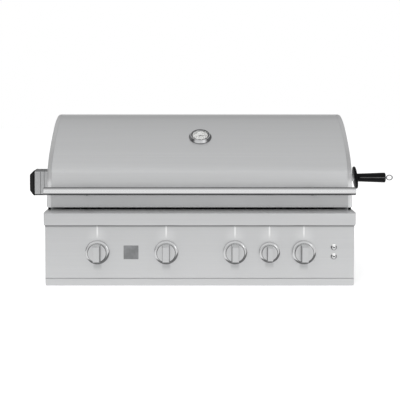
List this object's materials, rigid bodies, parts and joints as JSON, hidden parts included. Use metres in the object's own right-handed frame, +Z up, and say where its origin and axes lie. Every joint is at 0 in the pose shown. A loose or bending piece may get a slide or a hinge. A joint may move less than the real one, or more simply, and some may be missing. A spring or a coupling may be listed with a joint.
{
  "type": "built-in gas grill",
  "caption": "Built-in gas grill head with a rolled double-walled hood on a rear hinge, push-and-turn knobs on a front panel, tube burners, grates, a grease tray and a motor-driven spit.",
  "frame": {"origin": "centre of the underside of the firebox floor, the flat face that the grill stands on", "axes": "+X to the right seen from the front, +Y towards the rear of the hood, +Z up"},
  "size_m": [1.2452, 0.671, 0.522],
  "materials": {
    "brushed_steel": "brushed stainless steel",
    "polished_steel": "polished stainless steel",
    "plain_steel": "mill-finish stainless steel",
    "black_plastic": "moulded, fine grain",
    "ceramic": "unglazed porous ceramic",
    "brass": "machined",
    "white_enamel": "semi-matte",
    "dark_paint": "matte",
    "clear_glass": "clear, polished",
    "lamp_lens": "clear diffusing plastic"
  },
  "bodies": {
    "firebox": {"firebox_body": "plain_steel", "firebox_front_wall": "plain_steel", "firebox_rear_wall": "plain_steel", "front_ledge": "brushed_steel", "control_panel": "brushed_steel", "light_rail": "lamp_lens", "switch_block": "polished_steel", "gas_manifold": "brass", "knob_bezel_1": "polished_steel", "knob_bezel_2": "polished_steel", "knob_bezel_3": "polished_steel", "knob_bezel_4": "polished_steel", "knob_bezel_rear": "polished_steel", "burner_1": "plain_steel", "burner_2": "plain_steel", "burner_3": "plain_steel", "burner_4": "plain_steel", "flame_tamer_1": "plain_steel", "flame_tamer_2": "plain_steel", "flame_tamer_3": "plain_steel", "flame_tamer_4": "plain_steel", "cooking_grate_1": "plain_steel", "cooking_grate_2": "plain_steel", "cooking_grate_3": "plain_steel", "cooking_grate_4": "plain_steel", "rear_burner_housing": "plain_steel", "rear_burner_tile": "ceramic", "motor_case": "brushed_steel", "motor_cover": "black_plastic", "motor_bracket": "plain_steel", "spit_bracket": "plain_steel"},
    "hood": {"hood_skin": "brushed_steel", "hood_liner": "plain_steel", "hood_end_right": "brushed_steel", "hood_end_left": "brushed_steel", "hood_handle": "polished_steel", "thermometer_case": "polished_steel", "thermometer_dial": "white_enamel", "thermometer_lens": "clear_glass"},
    "needle": {"thermometer_needle": "dark_paint"},
    "tray": {"grease_tray": "brushed_steel"},
    "stem_1": {"valve_stem_1": "brass"},
    "stem_2": {"valve_stem_2": "brass"},
    "stem_3": {"valve_stem_3": "brass"},
    "stem_4": {"valve_stem_4": "brass"},
    "stem_rear": {"valve_stem_rear": "brass"},
    "knob_1": {"knob_1": "brushed_steel"},
    "knob_2": {"knob_2": "brushed_steel"},
    "knob_3": {"knob_3": "brushed_steel"},
    "knob_4": {"knob_4": "brushed_steel"},
    "knob_rear": {"knob_rear": "brushed_steel"},
    "button_upper": {"switch_button_upper": "polished_steel"},
    "button_lower": {"switch_button_lower": "polished_steel"},
    "spit": {"spit_rod": "plain_steel", "spit_bush": "polished_steel", "spit_guard": "black_plastic", "spit_handle": "black_plastic", "spit_loop": "polished_steel"},
    "fork_left": {"meat_fork_left": "plain_steel"},
    "fork_right": {"meat_fork_right": "plain_steel"}
  },
  "joints": [
    {"name": "hood_hinge", "type": "hinge", "parent": "firebox", "child": "hood", "pos_m": [0, 0.244, 0.307], "axis": [-1, 0, 0], "range_deg": [0, 75]},
    {"name": "needle_turn", "type": "hinge", "parent": "hood", "child": "needle", "pos_m": [0.0025, -0.11643, 0.45656], "axis": [0, -0.5291, 0.8486], "range_deg": [-45, 225], "stiffness_Nm_per_rad": 0.001},
    {"name": "tray_slide", "type": "slide", "parent": "firebox", "child": "tray", "axis": [0, -1, 0], "range_m": [0, 0.4]},
    {"name": "valve_1_turn", "type": "hinge", "parent": "firebox", "child": "stem_1", "pos_m": [-0.321, -0.307, 0.107], "axis": [0, -1, 0], "range_deg": [0, 180]},
    {"name": "valve_2_turn", "type": "hinge", "parent": "firebox", "child": "stem_2", "pos_m": [-0.105, -0.307, 0.107], "axis": [0, -1, 0], "range_deg": [0, 180]},
    {"name": "valve_3_turn", "type": "hinge", "parent": "firebox", "child": "stem_3", "pos_m": [0.111, -0.307, 0.107], "axis": [0, -1, 0], "range_deg": [0, 180]},
    {"name": "valve_4_turn", "type": "hinge", "parent": "firebox", "child": "stem_4", "pos_m": [0.327, -0.307, 0.107], "axis": [0, -1, 0], "range_deg": [0, 180]},
    {"name": "valve_rear_turn", "type": "hinge", "parent": "firebox", "child": "stem_rear", "pos_m": [0.219, -0.307, 0.107], "axis": [0, -1, 0], "range_deg": [0, 180]},
    {"name": "knob_1_push", "type": "slide", "parent": "stem_1", "child": "knob_1", "axis": [0, 1, 0], "range_m": [0, 0.004], "stiffness_N_per_m": 800},
    {"name": "knob_2_push", "type": "slide", "parent": "stem_2", "child": "knob_2", "axis": [0, 1, 0], "range_m": [0, 0.004], "stiffness_N_per_m": 800},
    {"name": "knob_3_push", "type": "slide", "parent": "stem_3", "child": "knob_3", "axis": [0, 1, 0], "range_m": [0, 0.004], "stiffness_N_per_m": 800},
    {"name": "knob_4_push", "type": "slide", "parent": "stem_4", "child": "knob_4", "axis": [0, 1, 0], "range_m": [0, 0.004], "stiffness_N_per_m": 800},
    {"name": "knob_rear_push", "type": "slide", "parent": "stem_rear", "child": "knob_rear", "axis": [0, 1, 0], "range_m": [0, 0.004], "stiffness_N_per_m": 800},
    {"name": "switch_upper_push", "type": "slide", "parent": "firebox", "child": "button_upper", "axis": [0, 1, 0], "range_m": [0, 0.0025], "stiffness_N_per_m": 600},
    {"name": "switch_lower_push", "type": "slide", "parent": "firebox", "child": "button_lower", "axis": [0, 1, 0], "range_m": [0, 0.0025], "stiffness_N_per_m": 600},
    {"name": "spit_turn", "type": "hinge", "parent": "firebox", "child": "spit", "pos_m": [0, 0.014, 0.308], "axis": [1, 0, 0], "continuous": true},
    {"name": "fork_left_slide", "type": "slide", "parent": "spit", "child": "fork_left", "axis": [1, 0, 0], "range_m": [-0.22, 0.06]},
    {"name": "fork_right_slide", "type": "slide", "parent": "spit", "child": "fork_right", "axis": [1, 0, 0], "range_m": [-0.06, 0.22]}
  ]
}
